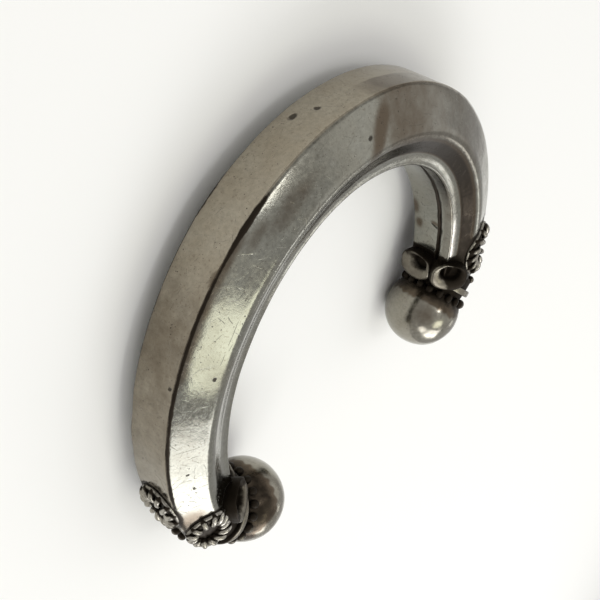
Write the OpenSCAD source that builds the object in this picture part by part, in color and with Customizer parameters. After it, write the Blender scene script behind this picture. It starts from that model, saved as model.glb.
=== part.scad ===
// Kada bracelet: a faceted open hoop with a round knob at each end and wirework rosettes before it.
// The hoop lies in the XY plane with its back at +Y and its mouth at -Y. Angles are counted from
// the middle of the back, positive towards +X. A section's points are [depth, height]: depth is
// measured inwards from the outer band, height from the hoop's own plane.

/* [Hoop] */
// Radius of the outer band, from the middle of the wrist opening
hoop_r = 43.1; // [38:0.1:50]
// How far the hoop is out of round, as a wave on that radius
oval = 1.6; // [0:0.1:3]
// Direction of the hoop's longest diameter
oval_turn = 34; // [-90:1:90]
// Angles from the middle of the back to the faceted body's -X end and its +X end
end_turns = [112, 114]; // [106:1:116]
// Share of its depth that the body loses towards its -X end and its +X end
end_thins = [0.215, 0.18]; // [0:0.005:0.3]
// Share of its height that the body loses towards each end
end_low = 0.185; // [0:0.01:0.3]
// How far the hoop opens outwards at its very ends
flare = 0.9; // [0:0.1:1.5]
// How far each knob is sprung out of the hoop's plane, one up and one down
spring = 1.44; // [0:0.02:2]

/* [Section at the back] */
// Half the width of the flat outer band
band_h = 4.2; // [3:0.1:5]
// Depth of the shoulder, the section's widest place
shoulder_d = 7.4; // [6.5:0.1:8.5]
// Half the width across the shoulders
shoulder_h = 7.8; // [7:0.1:8.5]
// Depth of the waist, where the side meets the bevel
waist_d = 11.9; // [11:0.1:12.4]
// Half the width at the waist
waist_h = 5.2; // [4.5:0.1:5.5]
// Depth of the inner face, so the whole thickness of the body
inner_d = 13.8; // [13:0.1:14.5]
// Half the width of the inner face
inner_h = 5.1; // [4:0.1:5.3]
// Height of the seam on the inner face
seam_h = 2; // [1:0.1:2.5]
// Depth of the groove along the seam
seam_deep = 0.5; // [0.3:0.1:0.8]

/* [Ends] */
// Radius of each knob
knob_r = 7.75; // [6.5:0.05:8.5]
// Angle from the middle of the back to each knob
knob_turn = 127.7; // [124:0.1:131]
// Distance from the middle of the opening to each knob's centre, at the -X end and at the +X end
knob_outs = [35.8, 34.8]; // [34:0.1:37]
// Depth at which each neck leaves the body's end, at the -X end and at the +X end
neck_ins = [5.4, 4.3]; // [4:0.1:6]
// Radius of the neck between the body and a knob
neck_r = 6.1; // [5.5:0.1:6.3]
// Outer radius of the plain band round the neck
collar_r = 6.9; // [6.8:0.1:7.6]
// Width of that band
collar_w = 1.3; // [1:0.1:1.6]
// Distance from a knob's centre back to the plain band
collar_back = 7; // [6.8:0.1:8.2]
// Radius of the ring on which the granules' centres lie
grain_ring_r = 6.4; // [6:0.1:6.7]
// Radius of a granule in the ring
grain_r = 1; // [0.8:0.05:1.2]
// Radius of a single granule
single_r = 0.8; // [0.6:0.05:1]
// Distance from a knob's centre back to the ring of granules
grain_back = 4.5; // [4.3:0.1:5.5]
// Number of granules in a ring
grains = 18; // [12:1:20]

/* [Rosettes] */
// Length along the hoop of the slope rosettes, at the -X end and at the +X end
slope_ls = [8.2, 11]; // [8:0.1:12]
// Width of the rosette on each slope
slope_w = 8.8; // [6:0.1:9]
// Angles from the middle of the back to the slope rosettes, at the -X end and at the +X end
slope_turns = [108, 102.7]; // [100:0.1:110]
// How far each slope rosette sits from the slope's middle, towards the shoulder
slope_up = 0.4; // [-0.5:0.1:0.8]
// Length along the hoop of the outer rosettes, at the -X end and at the +X end
band_ls = [9, 9]; // [8:0.1:11]
// Width of the rosette on the outer band
band_w = 7.8; // [6:0.1:9]
// Angles from the middle of the back to the outer rosettes, at the -X end and at the +X end
band_turns = [97.4, 94]; // [88:0.1:99]
// Length along the hoop of the worn rosettes on the inner side, at the -X end and at the +X end
worn_ls = [7.4, 6.1]; // [6:0.1:8]
// Width of the worn rosettes
worn_w = 7.5; // [4.5:0.1:7.8]
// Angles from the middle of the back to the worn rosettes, at the -X end and at the +X end
worn_turns = [110, 109.2]; // [107:0.1:111]
// How far below the hoop's plane the worn rosette on the inner face sits
worn_below = 1.8; // [0.5:0.1:2.8]
// How far the worn ring at the inner corner sits back towards the side, at the -X end and at the +X end
corner_backs = [1.6, 0.8]; // [0:0.1:2]
// How far the ring on the outer band stands proud, at the -X end and at the +X end
band_highs = [1.45, 1]; // [0.6:0.05:1.5]
// How far a slope rosette's ring stands proud, at the -X end and at the +X end
slope_highs = [1.2, 1.6]; // [0.9:0.1:1.6]
// How far a worn ring stands proud
worn_high = 2.2; // [1:0.1:2.4]
// Number of ribs in a rosette's ring
ribs = 13; // [10:1:18]
// Angles to the single granules along the middle of the outer band
grain_turns = [105.5, 109, 112.5]; // [104:0.5:114]
// Angle to the granule on the upper slope of the +X end
last_grain_turn = 114.8; // [113:0.1:116]

/* [Hidden] */
// The angle over which the body tapers
end_turn = end_turns[1];
silver = "#a39d90";
polished = "#b3aea3";
tarnished = "#85796a";
// How the sprung hoop tips as it lies on its side, about X and then about Y
lie_x = -0.47;
lie_y = -2.23;
// The height of its plane above what it lies on, and the middle of the hoop in that pose
rest_z = 7.911;
middle_x = -0.335;
middle_y = 7.099;
// Number of stretches along the body
stretches = 34;
// Reach of each corner's rounding along its two faces
edge_soft = 0.5;
shoulder_soft = 1.6;
waist_soft = 1.1;
bevel_soft = 0.35;
// Half the width of the seam's groove
seam_w = 0.35;
// Half the stretch over which a rosette bends round a corner of the section, and a worn one
bend = 1.6;
worn_bend = 2.8;
// How far the rings and granules reach into the metal below, and how far the worn rings do
root = 0.9;
worn_root = 2.4;
// Width of a rosette's hole, as a share of its own, and how far it lies off its middle
hole = 0.42;
corner_holes = [0.62, 0.5];
inner_hole = 0.38;
slope_off = 0.6;
// The same for the hole of a worn ring, towards the back, and on the inner face towards the upper side
worn_off = 1.1;
worn_up = 1.3;
// How far a single granule's centre lies above the skin, and the bevel of the plain band's rims
grain_up = 0.3;
collar_bevel = 0.3;
// Length of the side face between shoulder and waist near the ends
side_run = 4.1;
// Steps in one rib, and in the whole of a smooth ring
rib_steps = 3;
smooth_steps = 22;

function unit(v) = v / norm(v);
function wane(t) = pow(t / end_turn, 2);
function thin(t) = 1 - end_thins[t < 0 ? 0 : 1] * wane(t);
function low(t) = 1 - end_low * wane(t);
function out_r(t) = hoop_r + oval * cos(2 * (t - oval_turn)) + flare * pow(t / end_turn, 6);
function rise(t) = -spring * t / knob_turn;

// A point of the section at angle t, as a point in space
function place(t, p) = [(out_r(t) - p[0]) * sin(t), (out_r(t) - p[0]) * cos(t), p[1] + rise(t)];

// The section's corners at angle t, once round from the middle of the outer band
upper = [[0, band_h], [shoulder_d, shoulder_h], [waist_d, waist_h], [inner_d, inner_h]];
function flip(p) = [p[0], -p[1]];
function backwards(list) = [for (i = [len(list) - 1:-1:0]) list[i]];
corners = concat([[0, 0]], upper, backwards([for (p = upper) flip(p)]), [[0, 0]]);
function taper(t, p) = [p[0] * thin(t), p[1] * (p[0] < edge_soft ? 1 : low(t))];
function outline(t) = [for (p = corners) taper(t, p)];

// A corner b between a and c, rounded in n steps
function soften(a, b, c, reach, n) =
    let (from = b + unit(a - b) * reach, to = b + unit(c - b) * reach)
    [for (i = [0:n]) let (q = i / n) pow(1 - q, 2) * from + 2 * q * (1 - q) * b + q * q * to];

// The body's own section, with soft corners and the groove of the seam
soft_upper = concat(
    soften([0, 0], upper[0], upper[1], edge_soft, 1),
    soften(upper[0], upper[1], upper[2], shoulder_soft, 2),
    soften(upper[1], upper[2], upper[3], waist_soft, 1),
    soften(upper[2], upper[3], [inner_d, 0], bevel_soft, 1));
groove = [[inner_d, seam_h + seam_w], [inner_d - seam_deep, seam_h], [inner_d, seam_h - seam_w]];
profile = concat(soft_upper, groove, backwards([for (p = soft_upper) flip(p)]));

// The body's section at angle t, drawn in towards its middle by a share s
function section(t, s) =
    let (mid = [inner_d / 2 * thin(t), 0])
    [for (p = profile) place(t, mid + (taper(t, p) - mid) * s)];

// The position at a distance w along a line of points
function walk(line, w, i = 0) =
    let (run = norm(line[i + 1] - line[i]))
    (w <= run || i == len(line) - 2)
        ? line[i] + (line[i + 1] - line[i]) * w / run
        : walk(line, w - run, i + 1);
function length_of(line, i = 0) =
    i == len(line) - 1 ? 0 : norm(line[i + 1] - line[i]) + length_of(line, i + 1);
function wrap(w, whole) = w < 0 ? w + whole : w >= whole ? w - whole : w;

// A point h above the body's skin, w round the section from the middle of the outer band; over is
// half the stretch over which it passes a corner
function skin(t, w, h, over = bend) =
    let (line = outline(t), whole = length_of(line))
    let (a = walk(line, wrap(w - over, whole)), b = walk(line, wrap(w + over, whole)), d = unit(b - a))
    place(t, (a + b) / 4 + walk(line, wrap(w, whole)) / 2 + h * [-d[1], d[0]]);

// A point of the flat ground under a worn ring at angle t and distance w: x along the hoop, y across
// it, and h above
function flat_at(t, w, x, y, h) =
    let (o = skin(t, w, 0, worn_bend), out = unit(skin(t, w, 1, worn_bend) - o))
    let (along = unit(skin(t + 1, w, 0, worn_bend) - o))
    o + x * along + y * cross(out, along) + h * out;

// A closed skin over rings of points; looped joins the last ring to the first
module sweep(rings, looped = false) {
    n = len(rings);
    m = len(rings[0]);
    walls = [for (i = [0:(looped ? n - 1 : n - 2)], j = [0:m - 1])
        let (a = i * m + j, b = i * m + (j + 1) % m)
        let (c = (i + 1) % n * m + (j + 1) % m, d = (i + 1) % n * m + j)
        each [[a, d, c], [a, c, b]]];
    caps = looped ? [] : [[for (j = [0:m - 1]) j], [for (j = [m - 1:-1:0]) (n - 1) * m + j]];
    polyhedron(points = [for (r = rings) each r], faces = concat(walls, caps), convexity = 6);
}

// The faceted body, with its ends rounded in towards the necks
module body() {
    a = end_turns[0];
    b = end_turns[1];
    full = [for (i = [0:stretches]) [(a + b) * i / stretches - a, 1]];
    turns = concat([[-a - 2, 0.86], [-a - 1.2, 0.97]], full, [[b + 1.2, 0.97], [b + 2, 0.86]]);
    color(silver) sweep([for (q = turns) section(q[0], q[1])]);
}

// The cross section of a ribbed ring and of a worn one: share of the way from hole to rim, and share
// of its height
ring_rows = [[1, -root], [0.98, 0.3], [0.62, 1], [0.12, 0.8], [0, -root]];
worn_rows = [[1, -1], [0.98, 0.6], [0.85, 1], [0.15, 1], [0, 0.2]];

// A ribbed rosette at angle t and distance w round the section: a bent ring of wire with n ribs,
// round a hole that sits a little off its middle
module rosette(t, w, l, wide, off, high) {
    steps = ribs * rib_steps;
    depth_here = walk(outline(t), wrap(w, length_of(outline(t))))[0];
    mm_turn = 180 / PI / (out_r(t) - depth_here);
    sweep([for (i = [0:steps - 1])
        let (a = 360 * i / steps, rib = 0.5 + 0.5 * cos(ribs * a))
        [for (row = ring_rows)
            let (q = hole + (1 - hole) * row[0] * (0.95 + 0.05 * rib), o = off * (1 - row[0]))
            let (h = row[1] < 0 ? -root : high * row[1] * (0.55 + 0.45 * rib))
            let (along = l / 2 * q * cos(a) + o[0], across = wide / 2 * q * sin(a) + o[1])
            skin(t + along * mm_turn, w + across, h)]], true);
}

// A step round a worn ring's outline, which is fuller than an ellipse
function full_round(v) = sign(v) * pow(abs(v), 0.8);

// A worn ring of length l there: flat and smooth, round a hollow that sits off its middle
module worn_ring(t, w, l, inside, off) {
    sweep([for (row = worn_rows)
        let (q = inside + (1 - inside) * row[0], h = row[1] < 0 ? -worn_root : worn_high * row[1])
        [for (i = [0:smooth_steps - 1])
            let (a = 360 * i / smooth_steps, o = off * (1 - row[0]))
            let (x = l / 2 * q * full_round(cos(a)), y = worn_w / 2 * q * full_round(sin(a)))
            flat_at(t, w, x + o[0], y + o[1], h)]]);
}

// Distances round the section, at angle t, to the middle of each face that carries a rosette
function to_slope(t) = norm(outline(t)[1]) + norm(outline(t)[2] - outline(t)[1]) / 2;
function to_side(t) = length_of([for (i = [0:2]) outline(t)[i]]) + side_run / 2;
function to_corner(t) = length_of([for (i = [0:4]) outline(t)[i]]);
function to_inner(t) = -to_corner(t) - outline(t)[4][1] + worn_below;

// The ribbed rosettes at one end: one on the outer band and one on each slope
module outer_rosettes(side) {
    i = side < 0 ? 0 : 1;
    w = to_slope(side * slope_turns[i]) + slope_up;
    color(tarnished) {
        rosette(side * band_turns[i], 0, band_ls[i], band_w, [0, 0], band_highs[i]);
        for (up = [-1, 1])
            rosette(side * slope_turns[i], up * w, slope_ls[i], slope_w, [0, -up * slope_off],
                    slope_highs[i]);
    }
}

// The two smooth ones on the inner side, where the wrist has worn their ribs away
module worn_rosettes(side) {
    i = side < 0 ? 0 : 1;
    t = side * worn_turns[i];
    color(polished) {
        worn_ring(t, to_corner(t) - corner_backs[i], worn_ls[i], corner_holes[i],
                  [-side * worn_off, 0]);
        worn_ring(t, to_inner(t), worn_ls[i], inner_hole, [-side * worn_off, worn_up]);
    }
}

// One granule at angle t and distance w round the section
module granule_on(t, w) {
    color(tarnished) hull() {
        translate(skin(t, w, grain_up)) sphere(r = single_r, $fn = 8);
        translate(skin(t, w, -single_r)) sphere(r = single_r / 2, $fn = 5);
    }
}

// Single granules in the gaps between the rosettes and the plain band
module loose_granules(side) {
    for (t = grain_turns) granule_on(side * t, 0);
    if (side > 0) {
        granule_on(last_grain_turn, to_slope(last_grain_turn) - grain_r);
        granule_on(worn_turns[1], to_side(worn_turns[1]));
    }
}

// The neck runs from the body's end to the knob's centre
function neck_from(side) =
    let (i = side < 0 ? 0 : 1)
    place(side * end_turns[i], [neck_ins[i], 0]);
function knob_at(side) =
    place(side * knob_turn, [out_r(side * knob_turn) - knob_outs[side < 0 ? 0 : 1], 0]);
function neck_l(side) = norm(knob_at(side) - neck_from(side));

// Puts its children at the knob's centre, with +Z along the neck away from the body
module at_knob(side) {
    k = knob_at(side);
    z = unit(k - neck_from(side));
    x = unit(cross([0, 0, 1], z));
    y = cross(z, x);
    multmatrix([[x[0], y[0], z[0], k[0]], [x[1], y[1], z[1], k[1]], [x[2], y[2], z[2], k[2]]])
        children();
}

module neck(side) {
    long = neck_l(side);
    color(tarnished) at_knob(side) translate([0, 0, -long - root])
        cylinder(r = neck_r, h = long, $fn = 24);
}

module plain_band(side) {
    inner = neck_r - root;
    rim = collar_r - collar_bevel;
    color(silver) at_knob(side) translate([0, 0, -collar_back]) rotate_extrude($fn = 30)
        polygon([[inner, -collar_w / 2], [rim, -collar_w / 2], [collar_r, 0], [rim, collar_w / 2],
                 [inner, collar_w / 2]]);
}

module granules(side) {
    color(tarnished) at_knob(side) for (i = [0:grains - 1]) rotate([0, 0, 360 * i / grains])
        translate([grain_ring_r, 0, -grain_back]) hull() {
            sphere(r = grain_r, $fn = 8);
            translate([-root, 0, 0]) sphere(r = grain_r / 2, $fn = 5);
        }
}

module knob(side) {
    color(polished) at_knob(side) rotate([90, 0, 0]) sphere(r = knob_r, $fn = 22);
}

// The whole bracelet is soldered into one piece of metal
module kada() {
    translate([-middle_x, -middle_y, rest_z]) rotate([lie_x, lie_y, 0]) union() {
        body();
        for (side = [-1, 1]) {
            outer_rosettes(side);
            worn_rosettes(side);
            loose_granules(side);
            neck(side);
            plain_band(side);
            granules(side);
            knob(side);
        }
    }
}

kada();
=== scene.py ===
"""Open kada bracelet of worn silver, lying on its side: a faceted hoop, with wirework rosettes,
granules and a plain band before the round knob at each end.

Angles run in degrees from the middle of the back, positive towards the right knob. A section's
points are depth inwards from the outer band and height from the hoop's own plane, in millimetres.
"""
import math

import bmesh
import bpy
import numpy as np
from mathutils import Matrix, Vector, kdtree, noise


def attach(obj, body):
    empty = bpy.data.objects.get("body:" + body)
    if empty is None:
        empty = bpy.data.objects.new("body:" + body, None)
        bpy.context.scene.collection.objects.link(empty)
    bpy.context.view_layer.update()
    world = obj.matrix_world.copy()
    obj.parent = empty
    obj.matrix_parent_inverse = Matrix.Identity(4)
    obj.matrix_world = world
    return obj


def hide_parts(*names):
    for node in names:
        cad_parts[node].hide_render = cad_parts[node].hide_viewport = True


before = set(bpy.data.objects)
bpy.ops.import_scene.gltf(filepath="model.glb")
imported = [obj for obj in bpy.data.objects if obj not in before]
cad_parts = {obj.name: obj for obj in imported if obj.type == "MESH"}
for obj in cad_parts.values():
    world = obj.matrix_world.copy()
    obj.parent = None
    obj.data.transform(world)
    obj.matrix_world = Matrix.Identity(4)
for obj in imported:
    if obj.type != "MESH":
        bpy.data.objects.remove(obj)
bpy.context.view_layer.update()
MM = 0.001
SIDES = {"left": -1, "right": 1}

# The hoop's measures, as in the part's source
HOOP_R, OVAL, OVAL_TURN = 43.1, 1.6, 34
END_TURNS, END_THIN, END_LOW, FLARE, SPRING = {-1: 112, 1: 114}, (0.215, 0.18), 0.185, 0.9, 1.44
END_TURN = END_TURNS[1]
BAND_H, SHOULDER, WAIST, INNER = 4.2, (7.4, 7.8), (11.9, 5.2), (13.8, 5.1)
SEAM_H, SEAM_DEEP, SEAM_W = 2.0, 0.5, 0.35
EDGE_SOFT, SHOULDER_SOFT, WAIST_SOFT, BEVEL_SOFT = 0.5, 1.6, 1.2, 0.35
KNOB_R, KNOB_TURN, KNOB_OUT = 7.66, 127.7, {-1: 35.8, 1: 34.8}
NECK_IN, NECK_R, COLLAR_R, COLLAR_W, COLLAR_BACK = {-1: 5.4, 1: 4.3}, 6.1, 6.9, 1.3, 7.0
GRAIN_RING_R, GRAIN_R, SINGLE_R, GRAIN_BACK, GRAINS = 6.4, 1.0, 0.8, 4.5, 18
SLOPE_L, SLOPE_TURN = {"left": 8.2, "right": 11}, {"left": 108, "right": 102.7}
BAND_L, BAND_TURN = {"left": 9, "right": 9}, {"left": 97.4, "right": 94}
SLOPE_HIGH, BAND_HIGH = {"left": 1.2, "right": 1.6}, {"left": 1.45, "right": 1.0}
SLOPE_W, SLOPE_UP, BAND_W, RIBS = 8.8, 0.4, 7.8, 13
WORN_L, WORN_TURN = {"left": 7.4, "right": 6.1}, {"left": 110, "right": 109.2}
CORNER_BACK = {"left": 1.6, "right": 0.8}
WORN_W, WORN_BELOW, WORN_OFF, WORN_UP, WORN_HIGH = 7.5, 1.8, 1.1, 1.3, 2.2
HOLE, CORNER_HOLE, INNER_HOLE, SLOPE_OFF = 0.42, {"left": 0.62, "right": 0.5}, 0.38, 0.6
GRAIN_TURNS, LAST_GRAIN_TURN, GRAIN_UP, SIDE_RUN = (105.5, 109, 112.5), 114.8, 0.3, 4.1
BEND, WORN_BEND, ROOT, WORN_ROOT = 1.6, 2.8, 0.9, 2.4

# Points round a rosette's bed
BED_STEPS = 96

# How the sprung hoop lies: tipped about X, then about Y, and moved
LIE = (Matrix.Translation((0.335, -7.099, 7.911)) @ Matrix.Rotation(math.radians(-2.23), 4, "Y")
       @ Matrix.Rotation(math.radians(-0.47), 4, "X"))


def lie_down(points):
    """Points of the hoop's own frame, in millimetres, where they lie in the scene, in metres."""
    turn = np.array(LIE.to_3x3())
    return (np.asarray(points, float) @ turn.T + np.array(LIE.translation)) * MM


def unit(v):
    return v / np.linalg.norm(v, axis=-1, keepdims=True)


def thin(t):
    """How deep the section is at the angles t, as a share of its depth at the back."""
    return 1 - np.where(np.asarray(t) < 0, *END_THIN) * (t / END_TURN) ** 2


def low(t):
    """How high the section is at the angles t, as a share of its height at the back."""
    return 1 - END_LOW * (t / END_TURN) ** 2


def out_r(t):
    """The radius of the outer band at the angles t."""
    return HOOP_R + OVAL * np.cos(np.radians(2 * (t - OVAL_TURN))) + FLARE * (t / END_TURN) ** 6


def place(t, d, h):
    """A point of the section at angle t, as a point of the hoop's frame."""
    r, a = out_r(t) - d, np.radians(t)
    return np.stack(np.broadcast_arrays(r * np.sin(a), r * np.cos(a), h - SPRING * t / KNOB_TURN), -1)


def section_corners(t):
    """The section's eight corners at the angles t, from the band's upper edge round to its lower one."""
    t = np.asarray(t, float)
    upper = [(0, BAND_H), SHOULDER, WAIST, INNER]
    rows = [np.stack([d * thin(t), h * (low(t) if d else np.ones_like(t))], -1) for d, h in upper]
    return rows + [row * (1, -1) for row in rows[::-1]]


def outline(t):
    """The same section as a closed line that starts in the middle of the outer band."""
    return np.array([(0.0, 0.0)] + [tuple(c) for c in section_corners(t)] + [(0.0, 0.0)])


def walk(line, w):
    """The point at the distance w along a line of points, which wraps round."""
    runs = np.linalg.norm(np.diff(line, axis=0), axis=1)
    w = w % runs.sum()
    for a, b, run in zip(line, line[1:], runs):
        if w <= run:
            return a + (b - a) * (w / run)
        w -= run
    return line[-1]


def skin(t, w, h, over=BEND):
    """A point h above the skin at angle t, w round the section from the middle of the outer band; over
    is half the stretch over which it passes a corner."""
    line = outline(t)
    before, after = walk(line, w - over), walk(line, w + over)
    along = unit(after - before)
    d, k = (before + after) / 4 + walk(line, w) / 2 + h * np.array((-along[1], along[0]))
    return place(t, d, k)


def out_of_skin(t, w):
    """The way the skin faces."""
    return unit(skin(t, w, 1.0) - skin(t, w, 0.0))


def flat_at(t, w, x, y, h):
    """A point of the flat ground under a worn ring: x along the hoop, y across it, and h above."""
    start, out = skin(t, w, 0, WORN_BEND), unit(skin(t, w, 1, WORN_BEND) - skin(t, w, 0, WORN_BEND))
    along = unit(skin(t + 1, w, 0, WORN_BEND) - start)
    return start + x * along + y * np.cross(out, along) + h * out


def reach_to(t, corner):
    """The distance round the section from the middle of the outer band to one of its corners."""
    return np.linalg.norm(np.diff(outline(t)[:corner + 1], axis=0), axis=1).sum()


def to_slope(t):
    """The distance round the section to the middle of the upper slope."""
    return (reach_to(t, 1) + reach_to(t, 2)) / 2


def to_side(t):
    """The distance to the middle of the side."""
    return reach_to(t, 2) + SIDE_RUN / 2


def to_corner(t):
    """The distance to the upper bevel's inner corner."""
    return reach_to(t, 4)


def to_inner(t):
    return -to_corner(t) - outline(t)[4][1] + WORN_BELOW


def wander(points, size, seed=0.0):
    """Smooth noise from -1 to 1 at points in millimetres; size is that of its waves."""
    return np.array([noise.noise(Vector(p) / size + Vector((seed, seed * 1.7, -seed))) for p in points])


def ease(x, start, end):
    """0 before start and 1 after end, smoothly."""
    q = np.clip((np.asarray(x, float) - start) / (end - start), 0, 1)
    return q * q * (3 - 2 * q)


# Meshes
def mark(mesh, key, values):
    """Gives every point of a mesh a number under a name, which the finishes read."""
    layer = mesh.attributes.new(key, "FLOAT", "POINT")
    layer.data.foreach_set("value", np.asarray(values, np.float32))


def add_piece(name, mesh):
    piece = bpy.data.objects.new(name, mesh)
    bpy.context.collection.objects.link(piece)
    return piece


def new_piece(name, points, faces, finish, marks=None):
    """A smooth mesh object at the origin from points of the hoop's frame, with its finish and its marks."""
    mesh = bpy.data.meshes.new(name)
    mesh.from_pydata(lie_down(points).tolist(), [], faces)
    mesh.validate()
    for key, values in (marks or {}).items():
        mark(mesh, key, values)
    mesh.materials.append(finish)
    mesh.polygons.foreach_set("use_smooth", [True] * len(mesh.polygons))
    return add_piece(name, mesh)


def face_outwards(piece):
    """Turns the faces of a closed mesh outwards."""
    bm = bmesh.new()
    bm.from_mesh(piece.data)
    bmesh.ops.recalc_face_normals(bm, faces=bm.faces)
    bm.to_mesh(piece.data)
    bm.free()
    return piece


def sweep_faces(n, m, looped):
    """Quads over n rings of m points, closed round each ring; looped joins the last ring to the first."""
    faces = []
    for i in range(n if looped else n - 1):
        k = (i + 1) % n
        for j in range(m):
            q = (j + 1) % m
            faces.append((i * m + j, i * m + q, k * m + q, k * m + j))
    if not looped:
        faces += [tuple(range(m))[::-1], tuple((n - 1) * m + j for j in range(m))]
    return faces


# The hoop
def corner_arc(a, b, c, reach, steps):
    """A corner b between a and c of every section, rounded; reach is how far it takes from each face."""
    reach = np.asarray(reach)[..., None]
    start, stop = b + unit(a - b) * reach, b + unit(c - b) * reach
    return [(1 - q) ** 2 * start + 2 * q * (1 - q) * b + q * q * stop for q in np.linspace(0, 1, steps + 1)]


def between(a, b, count):
    """Count points spread evenly inside the stretch from a to b."""
    return [a + (b - a) * k / (count + 1) for k in range(1, count + 1)]


def seam_rows(start, stop, t):
    """The inner face from start to stop, with the wandering groove of the seam across it."""
    spots = np.stack([t * 0.7, t * 0, t * 0], -1)
    middle = SEAM_H * low(t) + 0.14 * wander(spots, 5.0, 3.0) + 0.05 * wander(spots, 1.3, 8.0)
    wide = SEAM_W * (0.9 + 0.4 * wander(spots, 2.6, 5.0))
    deep = SEAM_DEEP * (0.95 + 0.3 * wander(spots, 3.1, 11.0))
    face = start[:, 0]
    above, below = (np.stack([face, middle + k], -1) for k in (1.2, -1.2))
    rows = between(start, above, 2) + [above]
    for share in (1.7, 1.1, 0.8, 0.45, 0.2, 0, -0.2, -0.45, -0.8, -1.1, -1.7):
        sunk = deep * np.clip(1 - abs(share) / 1.1, 0, 1) ** 0.8
        rows.append(np.stack([face - sunk, middle + share * wide], -1))
    return rows + [below] + between(below, stop, 9)


def hoop_section(t):
    """Points round the section at every angle of t, as an array of stations by points by two."""
    c = section_corners(t)
    along = np.stack([t * 0.75, t * 0, t * 0], -1)
    soft = [EDGE_SOFT * (1 + 0.35 * wander(along, 4.0, 1.0)), np.full_like(t, SHOULDER_SOFT)]
    soft += [np.full_like(t, r) for r in (WAIST_SOFT, BEVEL_SOFT, BEVEL_SOFT, WAIST_SOFT, SHOULDER_SOFT)]
    soft.append(EDGE_SOFT * (1 + 0.35 * wander(along, 4.0, 2.0)))
    steps, flats = (5, 9, 7, 4, 4, 7, 9, 5), (16, 8, 2, 0, 2, 8, 16, 18)
    arcs = [corner_arc(c[k - 1], c[k], c[(k + 1) % 8], soft[k], steps[k]) for k in range(8)]
    rows = []
    for k in range(8):
        start, stop = arcs[k][-1], arcs[(k + 1) % 8][0]
        rows += arcs[k] + (seam_rows(start, stop, t) if k == 3 else between(start, stop, flats[k]))
    return np.stack(rows, 1)


def hoop_points():
    """The hoop's stations, its points in the section, and the same in the hoop's frame."""
    full = np.linspace(-END_TURNS[-1], END_TURNS[1], 301)
    round_off = [(0.35, 0.995), (0.75, 0.985), (1.2, 0.965), (1.6, 0.925), (1.9, 0.88), (2.0, 0.84), (2.0, 0.7)]
    t = np.concatenate([[full[0] - a for a, _ in round_off[::-1]], full, [full[-1] + a for a, _ in round_off]])
    shrink = np.concatenate([[s for _, s in round_off[::-1]], np.ones_like(full), [s for _, s in round_off]])
    flat = hoop_section(t)
    middle = np.stack([INNER[0] / 2 * thin(t), t * 0], -1)[:, None]
    flat = middle + (flat - middle) * shrink[:, None, None]
    # Hand-beaten faces are never quite flat
    run = unit(np.roll(flat, -1, 1) - np.roll(flat, 1, 1))
    across = np.stack([-run[..., 1], run[..., 0]], -1)
    raw = place(t[:, None], flat[..., 0], flat[..., 1])
    spots = raw.reshape(-1, 3)
    wave = (0.10 * wander(spots, 11.0, 4.0) + 0.035 * wander(spots, 4.0, 9.0)).reshape(flat.shape[:2])
    # The slopes fall off a little towards the ridge beside the band
    from_ridge = np.where(flat[..., 0] > 0.05, np.hypot(flat[..., 0], np.abs(flat[..., 1]) - BAND_H), 9)
    wave = wave - 0.12 * np.clip(1 - from_ridge / 2.4, 0, 1) ** 2
    flat = flat + across * wave[..., None]
    return t, flat, place(t[:, None], flat[..., 0], flat[..., 1])


# Wirework
def rosettes():
    """Every rosette: name, angle, distance round the section, length, width, hole, its offset, ribs, height."""
    found, centred = [], (0, 0)
    for end, side in SIDES.items():
        t = side * SLOPE_TURN[end]
        w = to_slope(t) + SLOPE_UP
        found.append(("band_" + end, side * BAND_TURN[end], 0, BAND_L[end], BAND_W, HOLE, centred,
                      RIBS, BAND_HIGH[end]))
        for level, up in (("upper", 1), ("lower", -1)):
            found.append((f"slope_{level}_{end}", t, up * w, SLOPE_L[end], SLOPE_W, HOLE,
                          (0, -up * SLOPE_OFF), RIBS, SLOPE_HIGH[end]))
        t, long = side * WORN_TURN[end], WORN_L[end]
        found.append(("worn_corner_" + end, t, to_corner(t) - CORNER_BACK[end], long, WORN_W, CORNER_HOLE[end],
                      (-side * WORN_OFF, 0), 0, WORN_HIGH))
        found.append(("worn_inner_" + end, t, to_inner(t), long, WORN_W, INNER_HOLE, (-side * WORN_OFF, WORN_UP), 0,
                      WORN_HIGH))
    return found


def full_round(v):
    """A step round a worn ring's outline, which is fuller than an ellipse."""
    return math.copysign(abs(v) ** 0.8, v)


def on_ring(ring, share, a, h):
    """The point of a rosette at the share of the way from its hole to its rim, round at angle a, h above the skin."""
    _, t, w, long, wide, hole, off, ribs, _ = ring
    q = hole + (1 - hole) * share
    x, y = (math.cos(a), math.sin(a)) if ribs else (full_round(math.cos(a)), full_round(math.sin(a)))
    x, y = long / 2 * q * x + off[0] * (1 - share), wide / 2 * q * y + off[1] * (1 - share)
    if not ribs:
        return flat_at(t, w, x, y, h)
    return skin(t + x * 180 / math.pi / (out_r(t) - walk(outline(t), w)[0]), w + y, h)


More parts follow.
